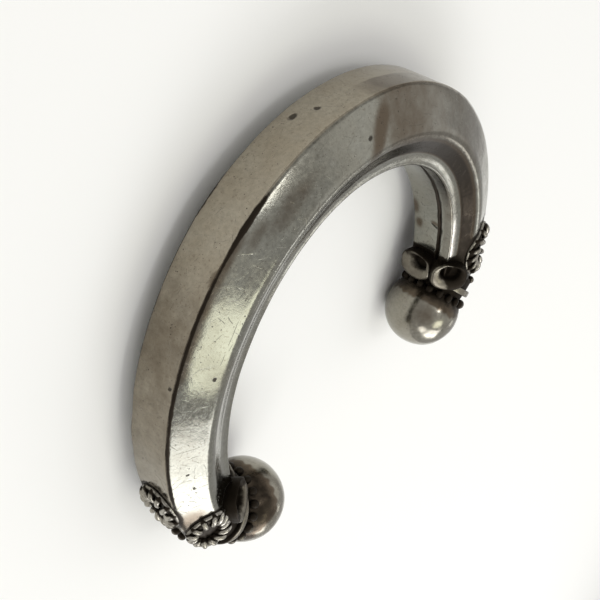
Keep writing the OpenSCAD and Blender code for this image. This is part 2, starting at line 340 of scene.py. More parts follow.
def rosette_bed(ring, finish):
    """The solid ring under the wires of a rosette, or the whole of a worn one: the share of the way from its hole
    to its rim and the height, from the outer foot over the top to the hole."""
    name, ribs, high = ring[0], ring[7], ring[8]
    if ribs:
        rows = [(1, -ROOT), (0.99, 0.05), (0.93, 0.22), (0.75, 0.36), (0.5, 0.4), (0.25, 0.3), (0.08, 0.1), (0, -0.1),
                (-0.35, -0.3), (-0.4, -ROOT)]
        rough = 0.03
    else:
        rows = [(0.96, -WORN_ROOT), (1, -0.5), (1.01, 0.3), (0.99, 0.66), (0.94, 0.88), (0.86, 0.98), (0.7, 1.02),
                (0.5, 1.0), (0.3, 0.96), (0.17, 0.88), (0.09, 0.74), (0.03, 0.5), (0, 0.25), (-0.2, 0.12),
                (-0.5, 0.05)]
        rough = 0.12
    points = []
    for k in range(BED_STEPS):
        a = 2 * math.pi * k / BED_STEPS
        worn = 1 + rough * noise.noise(Vector((math.cos(a) * 1.3, math.sin(a) * 1.3, ring[1] * 0.1)))
        for share, h in rows:
            points.append(on_ring(ring, share, a, h if h < 0 else high * h * worn))
    m = len(rows)
    faces = [f for f in sweep_faces(BED_STEPS, m, True) if ribs or not {0, m - 1} <= {k % m for k in f}]
    if not ribs:
        faces += [[k * m + m - 1 for k in range(BED_STEPS)], [k * m for k in range(BED_STEPS)]]
    return face_outwards(new_piece("rosette_" + name, points, faces, finish))


def rib_guides(ring):
    """One point for each rib of a rosette, with the way it faces, the way it runs, its length and its stoutness."""
    ribs, rows = ring[7], []
    for k in range(ribs):
        a = 2 * math.pi * (k + 0.12 * noise.noise(Vector((k * 3.1, ring[1], 0)))) / ribs
        inner, outer = (on_ring(ring, share, a, 0.05) for share in (0.12, 0.95))
        up = unit(on_ring(ring, 0.5, a, 1) - on_ring(ring, 0.5, a, 0))
        stout = 1 + 0.25 * noise.noise(Vector((k * 2.3, ring[1], 5)))
        rows.append(((inner + outer) / 2, up, unit(outer - inner), np.linalg.norm(outer - inner), stout))
    return rows


def guide_piece(name, rows):
    """A mesh of single points that carries what the node trees read from each of them."""
    turn = np.array(LIE.to_3x3())
    mesh = bpy.data.meshes.new(name)
    mesh.from_pydata(lie_down([r[0] for r in rows]).tolist(), [], [])
    for key, k in (("up", 1), ("outward", 2)):
        mesh.attributes.new(key, "FLOAT_VECTOR", "POINT").data.foreach_set(
            "vector", (np.array([r[k] for r in rows]) @ turn.T).astype(np.float32).ravel())
    for key, k in (("reach", 3), ("stout", 4)):
        mark(mesh, key, [r[k] for r in rows])
    return add_piece(name, mesh)


def path_piece(name, points):
    """A closed line of edges."""
    mesh = bpy.data.meshes.new(name)
    n = len(points)
    mesh.from_pydata(lie_down(points).tolist(), [(k, (k + 1) % n) for k in range(n)], [])
    return add_piece(name, mesh)


# Node trees that repeat a shape
class Nodes:
    """A node tree under construction."""

    def __init__(self, tree):
        self.tree = tree

    def add(self, kind, values=None, **settings):
        """A new node with its settings; each value is a constant or the socket that feeds the input."""
        node = self.tree.nodes.new(kind)
        for key, value in settings.items():
            setattr(node, key, value)
        for key, value in (values or {}).items():
            if isinstance(value, bpy.types.NodeSocket):
                self.tree.links.new(value, node.inputs[key])
            else:
                node.inputs[key].default_value = value
        return node


class Shape(Nodes):
    """A geometry node tree, from its named inputs to one mesh."""

    def __init__(self, name, inputs):
        super().__init__(bpy.data.node_groups.new(name, "GeometryNodeTree"))
        self.tree.interface.new_socket("Geometry", in_out="INPUT", socket_type="NodeSocketGeometry")
        for label, (kind, value) in inputs.items():
            socket = self.tree.interface.new_socket(label, in_out="INPUT", socket_type="NodeSocket" + kind)
            if value is not None:
                socket.default_value = value
        self.tree.interface.new_socket("Geometry", in_out="OUTPUT", socket_type="NodeSocketGeometry")
        self.given = self.tree.nodes.new("NodeGroupInput").outputs
        self.result = self.tree.nodes.new("NodeGroupOutput").inputs[0]

    def mark(self, name, kind="FLOAT"):
        """What each point of the guide carries under a name."""
        node = self.add("GeometryNodeInputNamedAttribute", {"Name": name}, data_type=kind)
        return next(s for s in node.outputs if s.enabled and s.name == "Attribute")

    def finish(self, geometry):
        """Makes the geometry one smooth mesh with its material, and ends the tree with it."""
        whole = self.add("GeometryNodeRealizeInstances", {0: geometry}).outputs[0]
        smooth = self.add("GeometryNodeSetShadeSmooth", {0: whole}).outputs[0]
        last = self.add("GeometryNodeSetMaterial", {"Geometry": smooth, "Material": self.given["Finish"]})
        self.tree.links.new(last.outputs[0], self.result)
        return self.tree


def rib_tree():
    """Arched wires on points: each runs along outward, arches towards up, and thins towards the hole."""
    g = Shape("wire_ribs", {"Wire": ("Float", 0.5 * MM), "Crown": ("Float", MM), "Slant": ("Float", 0.0),
                           "Finish": ("Material", None)})
    arc = g.add("GeometryNodeCurveArc", {"Resolution": 13, "Radius": 0.5, "Sweep Angle": math.pi}).outputs[0]
    tall = g.add("ShaderNodeMath", {0: g.given["Crown"], 1: 2.0}, operation="MULTIPLY").outputs[0]
    size = g.add("ShaderNodeCombineXYZ", {0: 1.0, 1: 1.0, 2: tall}).outputs[0]
    stand = g.add("GeometryNodeTransform", {"Geometry": arc, "Rotation": (math.pi / 2, 0, 0)}).outputs[0]
    arch = g.add("GeometryNodeTransform", {"Geometry": stand, "Scale": size}).outputs[0]
    share = g.add("GeometryNodeSplineParameter").outputs["Factor"]
    taper = g.add("ShaderNodeMapRange", {"Value": share, "To Min": 1.12, "To Max": 0.72}).outputs[0]
    wire = g.add("GeometryNodeSetCurveRadius", {"Curve": arch, "Radius": taper}).outputs[0]
    # The arch is one metre wide so far; each point's reach brings it to its own length
    up, outward = g.mark("up", "FLOAT_VECTOR"), g.mark("outward", "FLOAT_VECTOR")
    facing = g.add("FunctionNodeAxesToRotation", {0: up, 1: outward}, primary_axis="Z", secondary_axis="X").outputs[0]
    slant = g.add("FunctionNodeAxisAngleToRotation", {"Axis": (0, 0, 1), "Angle": g.given["Slant"]}).outputs[0]
    turned = g.add("FunctionNodeRotateRotation", {0: facing, 1: slant}, rotation_space="LOCAL").outputs[0]
    spots = g.add("GeometryNodeMeshToPoints", {"Mesh": g.given["Geometry"]}).outputs[0]
    lines = g.add("GeometryNodeInstanceOnPoints", {"Points": spots, "Instance": wire, "Rotation": turned})
    metres = g.add("ShaderNodeMath", {0: g.mark("reach"), 1: MM}, operation="MULTIPLY").outputs[0]
    stretch = g.add("ShaderNodeCombineXYZ", {0: metres, 1: 1.0, 2: g.mark("stout")}).outputs[0]
    g.tree.links.new(stretch, lines.inputs["Scale"])
    curves = g.add("GeometryNodeRealizeInstances", {0: lines.outputs[0]}).outputs[0]
    profile = g.add("GeometryNodeCurvePrimitiveCircle", {"Resolution": 10, "Radius": g.given["Wire"]}).outputs[0]
    tubes = g.add("GeometryNodeCurveToMesh", {"Curve": curves, "Profile Curve": profile, "Fill Caps": True})
    return g.finish(tubes.outputs[0])


def bead_tree():
    """A round granule on every point, its size from the point's stoutness."""
    g = Shape("granules", {"Radius": ("Float", MM), "Finish": ("Material", None)})
    ball = g.add("GeometryNodeMeshUVSphere", {"Segments": 20, "Rings": 12, "Radius": g.given["Radius"]}).outputs[0]
    up, outward = g.mark("up", "FLOAT_VECTOR"), g.mark("outward", "FLOAT_VECTOR")
    facing = g.add("FunctionNodeAxesToRotation", {0: up, 1: outward}, primary_axis="Z", secondary_axis="X").outputs[0]
    stout = g.mark("stout")
    size = g.add("ShaderNodeCombineXYZ", {0: g.mark("reach"), 1: stout, 2: stout}).outputs[0]
    spots = g.add("GeometryNodeMeshToPoints", {"Mesh": g.given["Geometry"]}).outputs[0]
    balls = g.add("GeometryNodeInstanceOnPoints",
                  {"Points": spots, "Instance": ball, "Rotation": facing, "Scale": size}).outputs[0]
    return g.finish(balls)


def wire_tree():
    """A round wire along a closed line."""
    g = Shape("wire_along_line", {"Wire": ("Float", 0.4 * MM), "Finish": ("Material", None)})
    line = g.add("GeometryNodeMeshToCurve", {"Mesh": g.given["Geometry"]}).outputs[0]
    profile = g.add("GeometryNodeCurvePrimitiveCircle", {"Resolution": 10, "Radius": g.given["Wire"]}).outputs[0]
    tube = g.add("GeometryNodeCurveToMesh", {"Curve": line, "Profile Curve": profile}).outputs[0]
    return g.finish(tube)


def grow(piece, tree, **values):
    """Runs a node tree on a piece and keeps the result as its plain mesh."""
    modifier = piece.modifiers.new(tree.name, "NODES")
    modifier.node_group = tree
    sockets = {s.name: s.identifier for s in tree.interface.items_tree if s.in_out == "INPUT"}
    for label, value in values.items():
        modifier[sockets[label]] = value
    bpy.context.view_layer.update()
    grown = bpy.data.meshes.new_from_object(piece.evaluated_get(bpy.context.evaluated_depsgraph_get()))
    piece.modifiers.clear()
    grown.name = piece.name
    piece.data = grown
    return piece


def gather(name, parts):
    """Several pieces made into one mesh, with all their finishes."""
    finishes, bm = [], bmesh.new()
    for part in parts:
        start = len(bm.faces)
        bm.from_mesh(part.data)
        bm.faces.ensure_lookup_table()
        for face in bm.faces[start:]:
            finish = part.data.materials[face.material_index]
            if finish not in finishes:
                finishes.append(finish)
            face.material_index = finishes.index(finish)
    mesh = bpy.data.meshes.new(name)
    bm.to_mesh(mesh)
    bm.free()
    for finish in finishes:
        mesh.materials.append(finish)
    for part in parts:
        bpy.data.objects.remove(part)
    return add_piece(name, mesh)


# The ends
def knob_frame(side):
    """Where a knob sits: the matrix that puts +Z along its neck, away from the body, and the neck's length."""
    start = place(side * END_TURNS[side], NECK_IN[side], 0.0)
    turn = side * KNOB_TURN
    centre = place(turn, out_r(turn) - KNOB_OUT[side], 0.0)
    z = unit(centre - start)
    x = unit(np.cross((0, 0, 1), z))
    return np.stack([x, np.cross(z, x), z], 1), centre, np.linalg.norm(centre - start)


def at_knob(side, points):
    """Points of a knob's own frame, which starts in its centre, as points of the hoop's frame."""
    axes, centre, _ = knob_frame(side)
    return np.asarray(points, float) @ axes.T + centre


def lathe(profile, steps):
    """Points round +Z from (radius, height) pairs."""
    turns = np.linspace(0, 2 * np.pi, steps, endpoint=False)
    return np.array([[(r * math.cos(a), r * math.sin(a), z) for r, z in profile] for a in turns]).reshape(-1, 3)


# Finishes
class Shader(Nodes):
    """A shader node tree; each method returns the socket of its result."""

    def sum(self, kind, a, b=0.0, c=None):
        values = {0: a, 1: b} if c is None else {0: a, 1: b, 2: c}
        return self.add("ShaderNodeMath", values, operation=kind).outputs[0]

    def vector(self, kind, values):
        return self.add("ShaderNodeVectorMath", values, operation=kind).outputs[0]

    def painted(self, name):
        """The mark that a piece's points carry under a name."""
        return self.add("ShaderNodeAttribute", attribute_name=name).outputs["Fac"]

    def ease(self, value, start, end, to_start=0.0, to_end=1.0):
        values = {"Value": value, "From Min": start, "From Max": end, "To Min": to_start, "To Max": to_end}
        return self.add("ShaderNodeMapRange", values, interpolation_type="SMOOTHSTEP").outputs[0]

    def blend(self, share, a, b, kind="MIX"):
        values = {0: share, 6: a, 7: b}
        return self.add("ShaderNodeMix", values, data_type="RGBA", blend_type=kind).outputs[2]

    def use(self, group, values):
        return self.add("ShaderNodeGroup", values, node_tree=group).outputs[0]


def effect(name, inputs):
    """An empty shader group with named inputs and one output, the mask; returns its Shader, inputs and output."""
    tree = bpy.data.node_groups.new(name, "ShaderNodeTree")
    for label, value in inputs.items():
        kind = "NodeSocketVector" if isinstance(value, tuple) else "NodeSocketFloat"
        tree.interface.new_socket(label, in_out="INPUT", socket_type=kind).default_value = value
    tree.interface.new_socket("Mask", in_out="OUTPUT", socket_type="NodeSocketFloat")
    given, out = tree.nodes.new("NodeGroupInput").outputs, tree.nodes.new("NodeGroupOutput").inputs[0]
    return Shader(tree), given, out


def hairline_effect():
    """Short straight scratches in every direction: in each cell of space a thin plane cuts the surface."""
    s, given, out = effect("hairlines", {"Place": (0.0, 0.0, 0.0), "Size": 1.0, "Width": 0.02, "Share": 0.5})
    spot = s.vector("SCALE", {0: given["Place"], "Scale": given["Size"]})
    cells = s.add("ShaderNodeTexVoronoi", {"Vector": spot, "Scale": 1.0}, voronoi_dimensions="3D", feature="F1")
    local = s.vector("SUBTRACT", {0: spot, 1: cells.outputs["Position"]})
    tilt = s.add("ShaderNodeVectorMath", {0: cells.outputs["Color"], 1: (0.5, 0.5, 0.5)}, operation="SUBTRACT")
    facing = s.vector("NORMALIZE", {0: tilt.outputs[0]})
    off = s.add("ShaderNodeVectorMath", {0: local, 1: facing}, operation="DOT_PRODUCT").outputs["Value"]
    line = s.ease(s.sum("ABSOLUTE", off), 0.0, given["Width"], 1.0, 0.0)
    fade = s.ease(cells.outputs["Distance"], 0.2, 0.7, 1.0, 0.0)
    chance = s.add("ShaderNodeTexWhiteNoise", {"Vector": cells.outputs["Position"]}).outputs["Value"]
    gate = s.sum("LESS_THAN", chance, given["Share"])
    s.tree.links.new(s.sum("MULTIPLY", s.sum("MULTIPLY", line, fade), gate), out)
    return s.tree


def pit_effect():
    """Small dark pits of uneven shape, one in some of the cells of space."""
    s, given, out = effect("pits", {"Place": (0.0, 0.0, 0.0), "Size": 1.0, "Radius": 0.2, "Share": 0.2})
    spot = s.vector("SCALE", {0: given["Place"], "Scale": given["Size"]})
    ragged = s.add("ShaderNodeTexNoise", {"Vector": spot, "Scale": 3.0, "Detail": 1.0}).outputs["Color"]
    push = s.vector("SUBTRACT", {0: ragged, 1: (0.5, 0.5, 0.5)})
    spot = s.vector("MULTIPLY_ADD", {0: push, 1: (0.35, 0.35, 0.35), 2: spot})
    cells = s.add("ShaderNodeTexVoronoi", {"Vector": spot, "Scale": 1.0}, voronoi_dimensions="3D", feature="F1")
    chance = s.add("ShaderNodeTexWhiteNoise", {"Vector": cells.outputs["Position"]}).outputs["Value"]
    radius = s.sum("MULTIPLY", given["Radius"], s.sum("MULTIPLY_ADD", cells.outputs["Color"], 0.8, 0.35))
    mask = s.ease(cells.outputs["Distance"], s.sum("MULTIPLY", radius, 0.5), radius, 1.0, 0.0)
    s.tree.links.new(s.sum("MULTIPLY", mask, s.sum("LESS_THAN", chance, given["Share"])), out)
    return s.tree


def tarnish_effect():
    """Where tarnish stays: a painted mark whose border is made ragged."""
    s, given, out = effect("tarnish", {"Place": (0.0, 0.0, 0.0), "Mark": 0.0, "Size": 1.0, "Ragged": 0.5,
                                       "Soft": 0.2})
    cloud = s.add("ShaderNodeTexNoise", {"Vector": given["Place"], "Scale": given["Size"], "Detail": 4.0,
                                         "Roughness": 0.65}).outputs[0]
    push = s.sum("MULTIPLY", s.sum("SUBTRACT", cloud, 0.5), given["Ragged"])
    level = s.sum("ADD", given["Mark"], push)
    s.tree.links.new(s.ease(level, s.sum("SUBTRACT", 0.5, given["Soft"]), s.sum("ADD", 0.5, given["Soft"])), out)
    return s.tree


def dent_effect():
    """One pit or short crack: an uneven spot round a point, stretched along a direction."""
    s, given, out = effect("single_pit", {"Place": (0.0, 0.0, 0.0), "Centre": (0.0, 0.0, 0.0),
                                          "Along": (1.0, 0.0, 0.0), "Radius": 1.0, "Stretch": 1.0})
    ragged = s.add("ShaderNodeTexNoise", {"Vector": given["Place"], "Scale": 1.6, "Detail": 2.0}).outputs["Color"]
    push = s.vector("SUBTRACT", {0: ragged, 1: (0.5, 0.5, 0.5)})
    spot = s.add("ShaderNodeVectorMath", {0: push, 1: (0.6, 0.6, 0.6), 2: given["Place"]}, operation="MULTIPLY_ADD")
    local = s.vector("SUBTRACT", {0: spot.outputs[0], 1: given["Centre"]})
    run = s.add("ShaderNodeVectorMath", {0: local, 1: given["Along"]}, operation="DOT_PRODUCT").outputs["Value"]
    cut = s.sum("MULTIPLY", run, s.sum("SUBTRACT", 1.0, s.sum("DIVIDE", 1.0, given["Stretch"])))
    back = s.vector("SCALE", {0: given["Along"], "Scale": cut})
    left = s.vector("SUBTRACT", {0: local, 1: back})
    far = s.add("ShaderNodeVectorMath", {0: left}, operation="LENGTH").outputs["Value"]
    s.tree.links.new(s.ease(far, s.sum("MULTIPLY", given["Radius"], 0.55), given["Radius"], 1.0, 0.0), out)
    return s.tree


HAIRLINES, PITS, TARNISH, DENT = hairline_effect(), pit_effect(), tarnish_effect(), dent_effect()


def colour(r, g, b):
    """A linear colour."""
    return (r, g, b, 1.0)


def silver(name, tone, warm, rough, lines, pits, ragged, dents=(), grain=0.25, stains_and_painted_light=False):
    """Worn silver: cloudy tone, hairlines, pits, single dents, and tarnish where the piece is marked.

    It goes from tone to warm in clouds. Lines, pits and ragged say how strong the hairlines are, how many cells
    of space hold a pit and how uneven the tarnish's border is; grain is the strength of the fine unevenness.
    """
    material = bpy.data.materials.new(name)
    material.use_nodes = True
    s = Shader(material.node_tree)
    shader = next(n for n in material.node_tree.nodes if n.type == "BSDF_PRINCIPLED")
    own = s.add("ShaderNodeTexCoord").outputs["Object"]
    spot = s.vector("SCALE", {0: own, "Scale": 1000.0})
    cloud = s.add("ShaderNodeTexNoise", {"Vector": spot, "Scale": 0.11, "Detail": 3.0, "Roughness": 0.6}).outputs[0]
    fine = s.add("ShaderNodeTexNoise", {"Vector": spot, "Scale": 1.4, "Detail": 4.0, "Roughness": 0.7}).outputs[0]
    patch = s.ease(cloud, 0.36, 0.64)
    base = s.blend(patch, tone, warm)
    speckle = s.ease(fine, 0.3, 0.72, 0.88, 1.08)
    speckles = s.add("ShaderNodeCombineColor", {0: speckle, 1: speckle, 2: speckle}).outputs[0]
    base = s.blend(1.0, base, speckles, "MULTIPLY")
    specks = s.add("ShaderNodeTexNoise", {"Vector": spot, "Scale": 2.4, "Detail": 3.0, "Roughness": 0.75}).outputs[0]
    base = s.blend(s.ease(specks, 0.55, 0.72, 0.0, 0.55), base, BROWN)
    if stains_and_painted_light:
        # Painted reflection: the outer band is painted brighter and warmer, for the warm surroundings it reflects;
        # the right end's bevel gets a painted highlight; stains and painted shade turn from brown to nearly black as
        # their mark grows
        mark = s.painted("band_reflection")
        base = s.blend(s.ease(mark, 0.0, 1.0), base, s.blend(1.0, base, BAND_REFLECTION_TINT, "MULTIPLY"))
        mark = s.painted("painted_bevel_highlight")
        base = s.blend(s.sum("MULTIPLY", s.ease(fine, 0.25, 0.5), mark), base, BEVEL_HIGHLIGHT_TONE)
        mark = s.painted("stain_and_shade")
        soft = s.use(TARNISH, {"Place": spot, "Mark": mark, "Size": 0.45, "Ragged": 0.5, "Soft": 0.42})
        base = s.blend(soft, base, BROWN)
        over = s.sum("SUBTRACT", mark, 1.0)
        deep = s.use(TARNISH, {"Place": spot, "Mark": over, "Size": 0.35, "Ragged": 0.3, "Soft": 0.4})
        base = s.blend(deep, base, DARK_BROWN)
    bend = s.add("ShaderNodeTexNoise", {"Vector": spot, "Scale": 0.5, "Detail": 1.0}).outputs["Color"]
    bent = s.vector("MULTIPLY_ADD", {0: bend, 1: (0.45, 0.45, 0.45), 2: spot})
    coarse = s.use(HAIRLINES, {"Place": bent, "Size": 0.28, "Width": 0.01, "Share": 0.7})
    small = s.use(HAIRLINES, {"Place": bent, "Size": 0.6, "Width": 0.022, "Share": 0.8})
    scratch = s.sum("MULTIPLY", s.sum("MAXIMUM", coarse, s.sum("MULTIPLY", small, 0.8)), lines)
    # The smallest pits come in clusters
    cluster = s.add("ShaderNodeTexNoise", {"Vector": spot, "Scale": 0.28, "Detail": 1.0}).outputs[0]
    holes = s.use(PITS, {"Place": spot, "Size": 0.62, "Radius": 0.11, "Share": pits})
    crowd = s.ease(cluster, 0.5, 0.68, pits * 0.5, pits * 4)
    tiny = s.use(PITS, {"Place": spot, "Size": 1.9, "Radius": 0.24, "Share": crowd})
    hole = s.sum("MAXIMUM", s.sum("MULTIPLY", holes, 0.9), s.sum("MULTIPLY", tiny, 0.8))
    for centre, along, radius, stretch in dents:
        one = s.use(DENT, {"Place": spot, "Centre": centre, "Along": along, "Radius": radius, "Stretch": stretch})
        hole = s.sum("MAXIMUM", hole, one)
    mark = s.painted("crevice")
    dark = s.use(TARNISH, {"Place": spot, "Mark": mark, "Size": 0.8, "Ragged": ragged, "Soft": 0.2})
    marked = s.sum("MAXIMUM", dark, s.sum("MULTIPLY", hole, 0.85))
    marked = s.sum("MAXIMUM", marked, s.sum("MULTIPLY", scratch, 0.33))
    s.tree.links.new(s.blend(marked, base, BLACK), shader.inputs["Base Color"])
    gloss = s.sum("ADD", s.ease(cloud, 0.3, 0.7, rough - 0.05, rough + 0.05), s.ease(fine, 0.35, 0.7, -0.04, 0.06))
    s.tree.links.new(s.sum("MULTIPLY_ADD", marked, 0.28, gloss), shader.inputs["Roughness"])
    s.tree.links.new(s.sum("MULTIPLY_ADD", marked, -0.1, 1.0), shader.inputs["Metallic"])
    height = s.sum("MULTIPLY", fine, grain)
    height = s.sum("MULTIPLY_ADD", hole, -1.0, height)
    height = s.sum("MULTIPLY_ADD", scratch, -0.35, height)
    bump = s.add("ShaderNodeBump", {"Strength": 0.6, "Distance": 0.00012, "Height": height})
    s.tree.links.new(bump.outputs[0], shader.inputs["Normal"])
    return material


BLACK = colour(0.02, 0.015, 0.01)
BROWN = colour(0.105, 0.083, 0.06)
DARK_BROWN = colour(0.045, 0.036, 0.027)
# Painted reflection: the band's tone is multiplied by this, brighter and warmer
BAND_REFLECTION_TINT = colour(1.24, 1.13, 1.03)
# Painted highlight: the bright tone painted on the right end's bevel
BEVEL_HIGHLIGHT_TONE = colour(0.8, 0.76, 0.7)

# Single marks of wear: place in millimetres, direction, radius and stretch
HOOP_DENTS = [((-0.8, 36.5, 5.6), (1.0, 0.0, 0.1), 0.62, 1.8), ((2.5, 36.6, 7.5), (0.8, 0.0, 0.6), 0.5, 1.5),
              ((-36.2, 13.3, 10.2), (0.0, 1.0, 0.0), 0.5, 1.0), ((-30.7, 12.6, 13.8), (0.0, 1.0, 0.0), 0.4, 1.0),
              ((6.1, 31.9, 14.1), (1.0, 0.3, 0.0), 0.45, 1.3), ((-39.0, -6.6, 13.2), (1.0, 0.0, 0.0), 0.35, 1.0),
              ((-39.2, -2.9, 12.8), (1.0, 0.0, 0.0), 0.3, 1.0), ((30.8, -7.0, 8.7), (0.0, 0.42, -0.9), 0.3, 4.0)]
HOOP_FINISH = silver("worn_silver", colour(0.27, 0.268, 0.235), colour(0.25, 0.242, 0.205),
                     rough=0.17, lines=0.8, pits=0.2, ragged=0.7, dents=HOOP_DENTS, stains_and_painted_light=True)
KNOB_FINISH = silver("handled_silver", colour(0.32, 0.305, 0.262), colour(0.26, 0.243, 0.2),
                     rough=0.2, lines=0.2, pits=0.08, ragged=0.6, stains_and_painted_light=True)
WIRE_FINISH = silver("wire_silver", colour(0.42, 0.4, 0.36), colour(0.3, 0.28, 0.235),
                     rough=0.24, lines=0.2, pits=0.1, ragged=0.9, grain=0.5)
GRAIN_FINISH = silver("dull_silver", colour(0.18, 0.162, 0.135), colour(0.11, 0.1, 0.08),
                      rough=0.28, lines=0.1, pits=0.1, ragged=0.9, grain=0.5)
BED_FINISH = silver("blackened_silver", colour(0.11, 0.1, 0.082), colour(0.07, 0.062, 0.05),
                    rough=0.42, lines=0.2, pits=0.3, ragged=0.9, grain=0.6)
WORN_FINISH = silver("rubbed_silver", colour(0.25, 0.232, 0.19), colour(0.16, 0.142, 0.113),
                     rough=0.32, lines=0.3, pits=0.1, ragged=0.7)


# Brown patches on the upper slope: turn, depth, length, width, lean and strength
SLOPE_STAINS = [(12.8, 4.2, 3.0, 5.0, -0.95, 0.98), (-16.0, 3.6, 9.0, 1.8, 0.0, 0.55),
                (-25.0, 2.0, 5.0, 1.2, 0.0, 0.5), (-100, 1.2, 4.0, 3.4, 0, 0.8)]
# Brown spots on the inner face: turn, height, length, width and strength
INNER_STAINS = [(84, -4.2, 4.5, 1.1, 0.95), (91.5, -3.2, 2.6, 0.9, 0.9), (88.5, 0.6, 1.3, 1.2, 0.85)]


# The pieces
pieces = []
t_rows, flat_rows, hoop_rows = hoop_points()
wirework = rosettes()
rim_points = []
for ring in wirework:
    for k in range(48):
        rim_points += [on_ring(ring, share, 2 * math.pi * k / 48, 0) for share in (1.0, 0.0, -0.4)]
for side in SIDES.values():
    for k in range(36):
        a = 2 * math.pi * k / 36
        rim_points.append(at_knob(side, [(6.6 * math.cos(a), 6.6 * math.sin(a), -COLLAR_BACK - 0.8)])[0])
tree = kdtree.KDTree(len(rim_points))
for k, p in enumerate(rim_points):
    tree.insert(Vector(p), k)
tree.balance()


def hoop_marks():
    """How near each point is to the wirework and the band's edges, its stains and painted shade, the band's painted
    reflection and the bevel's painted highlight.
    """
    t = np.repeat(t_rows[:, None], hoop_rows.shape[1], 1)
    d, h = flat_rows[..., 0], flat_rows[..., 1]
    spots = hoop_rows.reshape(-1, 3)
    near = np.array([tree.find(Vector(p))[2] for p in spots]).reshape(t.shape)
    spotty = wander(np.stack([t * 0.75, t * 0, t * 0], -1)[:, 0], 3.0, 6.0)[:, None]
    inwards = d / thin(t)
    side = ease(inwards, SHOULDER[0] + 0.3, SHOULDER[0] + 2.0) * (1 - ease(inwards, WAIST[0] - 0.9, WAIST[0] - 0.3))
    crevice = 1.1 * (1 - ease(near, 0.15, np.where(t < 0, 1.6, 2.4)))
    crevice = np.maximum(crevice, 0.75 * ease(np.abs(t), 109.5, 112))
    from_edge = np.hypot(d - 0.12, np.abs(h) - BAND_H - 0.06)
    strength = 0.42 + 0.5 * ease(-t, 14, 22) * (1 - ease(-t, 90, 97)) + 0.16 * spotty
    thick = 0.3 + 0.12 * spotty + 0.3 * ease(-t, 16, 22) * (1 - ease(-t, 24, 34))
    ridge = strength * (1 - ease(from_edge, 0.12, thick + 0.32))
    seam = 1.1 * (1 - ease(np.abs(h - SEAM_H * low(t)), 0.25, 0.75)) * (d > INNER[0] * thin(t) - 0.9)
    stain_and_shade = 2.0 * side * ease(t, -12, 26)
    crevice = np.maximum(crevice, (0.62 + 0.12 * spotty) * side * ease(t, 66, 92))
    strip = ease(-t, 22, 30) * (1 - ease(-t, 56, 64)) * (1 - ease(from_edge, 0.5, 2.0)) * (d > 0.05)
    stain_and_shade = np.maximum(stain_and_shade, 0.7 * strip * (h > 0))
    for turn, depth, wide, tall, lean, amount in SLOPE_STAINS:
        far = ((t - turn - lean * (d - depth)) / wide) ** 2 + ((d - depth) / tall) ** 2
        stain_and_shade = np.maximum(stain_and_shade, amount * np.exp(-far ** 1.5) * (h > 3))
    for turn, height, long, wide, amount in INNER_STAINS:
        far = ((t - turn) / long) ** 2 + ((h - height) / wide) ** 2
        stain_and_shade = np.maximum(stain_and_shade, amount * np.exp(-far ** 1.5) * (inwards > INNER[0] - 0.6))
    # Painted reflection: the inner face above the seam is painted browner towards the right end, for the dark it
    # reflects
    strip = ease(h, SEAM_H + 0.5, SEAM_H + 0.9) * (inwards > INNER[0] - 0.4) * ease(t, 40, 60)
    stain_and_shade = np.maximum(stain_and_shade, 0.45 * strip)
    # The band is browner towards the left end, a painted darker reflection, and the upper slope towards the right one
    band = 1 - ease(d, 0.05, 0.35)
    stain_and_shade = np.maximum(stain_and_shade, band * (0.55 * np.exp(-((t + 54) / 20) ** 2) + 0.3 * ease(-t, 60, 80)))
    slope = (h > 0) * (d < SHOULDER[0] + 1) * ease(t, 8, 18) * (1 - ease(t, 60, 80))
    stain_and_shade = np.maximum(stain_and_shade, (0.5 + 0.2 * np.exp(-((t - 21) / 9) ** 2)) * slope)
    # Painted reflection: the whole outer band is marked to be painted brighter and warmer
    band_reflection = band
    # Painted highlight: the right end's upper inner bevel is painted bright where it catches the light
    bevel = ease(inwards, WAIST[0] + 0.1, WAIST[0] + 0.5) * (1 - ease(inwards, INNER[0] - 0.35, INNER[0] - 0.1))
    painted_bevel_highlight = bevel * (h > 0) * ease(t, 78, 96) * (0.85 + 0.15 * spotty)
    return {"crevice": np.maximum(np.maximum(crevice, ridge), seam).ravel(), "stain_and_shade": stain_and_shade.ravel(),
            "band_reflection": band_reflection.ravel(), "painted_bevel_highlight": painted_bevel_highlight.ravel()}


n, m = hoop_rows.shape[:2]
hoop = new_piece("hoop", hoop_rows.reshape(-1, 3), sweep_faces(n, m, False), HOOP_FINISH, hoop_marks())
pieces.append(face_outwards(hoop))

RIB_TREE, BEAD_TREE, WIRE_TREE = rib_tree(), bead_tree(), wire_tree()


def points_of(piece):
    """A piece's points back in the hoop's own frame, in millimetres."""
    flat = np.empty(len(piece.data.vertices) * 3, np.float32)
    piece.data.vertices.foreach_get("co", flat)
    back = LIE.inverted()
    return (flat.reshape(-1, 3) / MM) @ np.array(back.to_3x3()).T + np.array(back.translation)


def mark_by_height(piece, guides, lowest, highest, shade_added=None):
    """Tarnish stays low between the wires and is worn off their tops; the last argument adds painted shade to it for
    each guide.
    """
    spots = points_of(piece)
    feet = kdtree.KDTree(len(guides))
    for k, g in enumerate(guides):
        feet.insert(Vector(g[0]), k)
    feet.balance()
    values, more = [], []
    for p in spots:
        at, k, _ = feet.find(Vector(p))
        values.append(np.dot(p - guides[k][0], guides[k][1]))
        more.append(shade_added[k] if shade_added else 0)
    mark(piece.data, "crevice", 1.0 - 0.95 * ease(values, lowest, highest) + np.array(more))


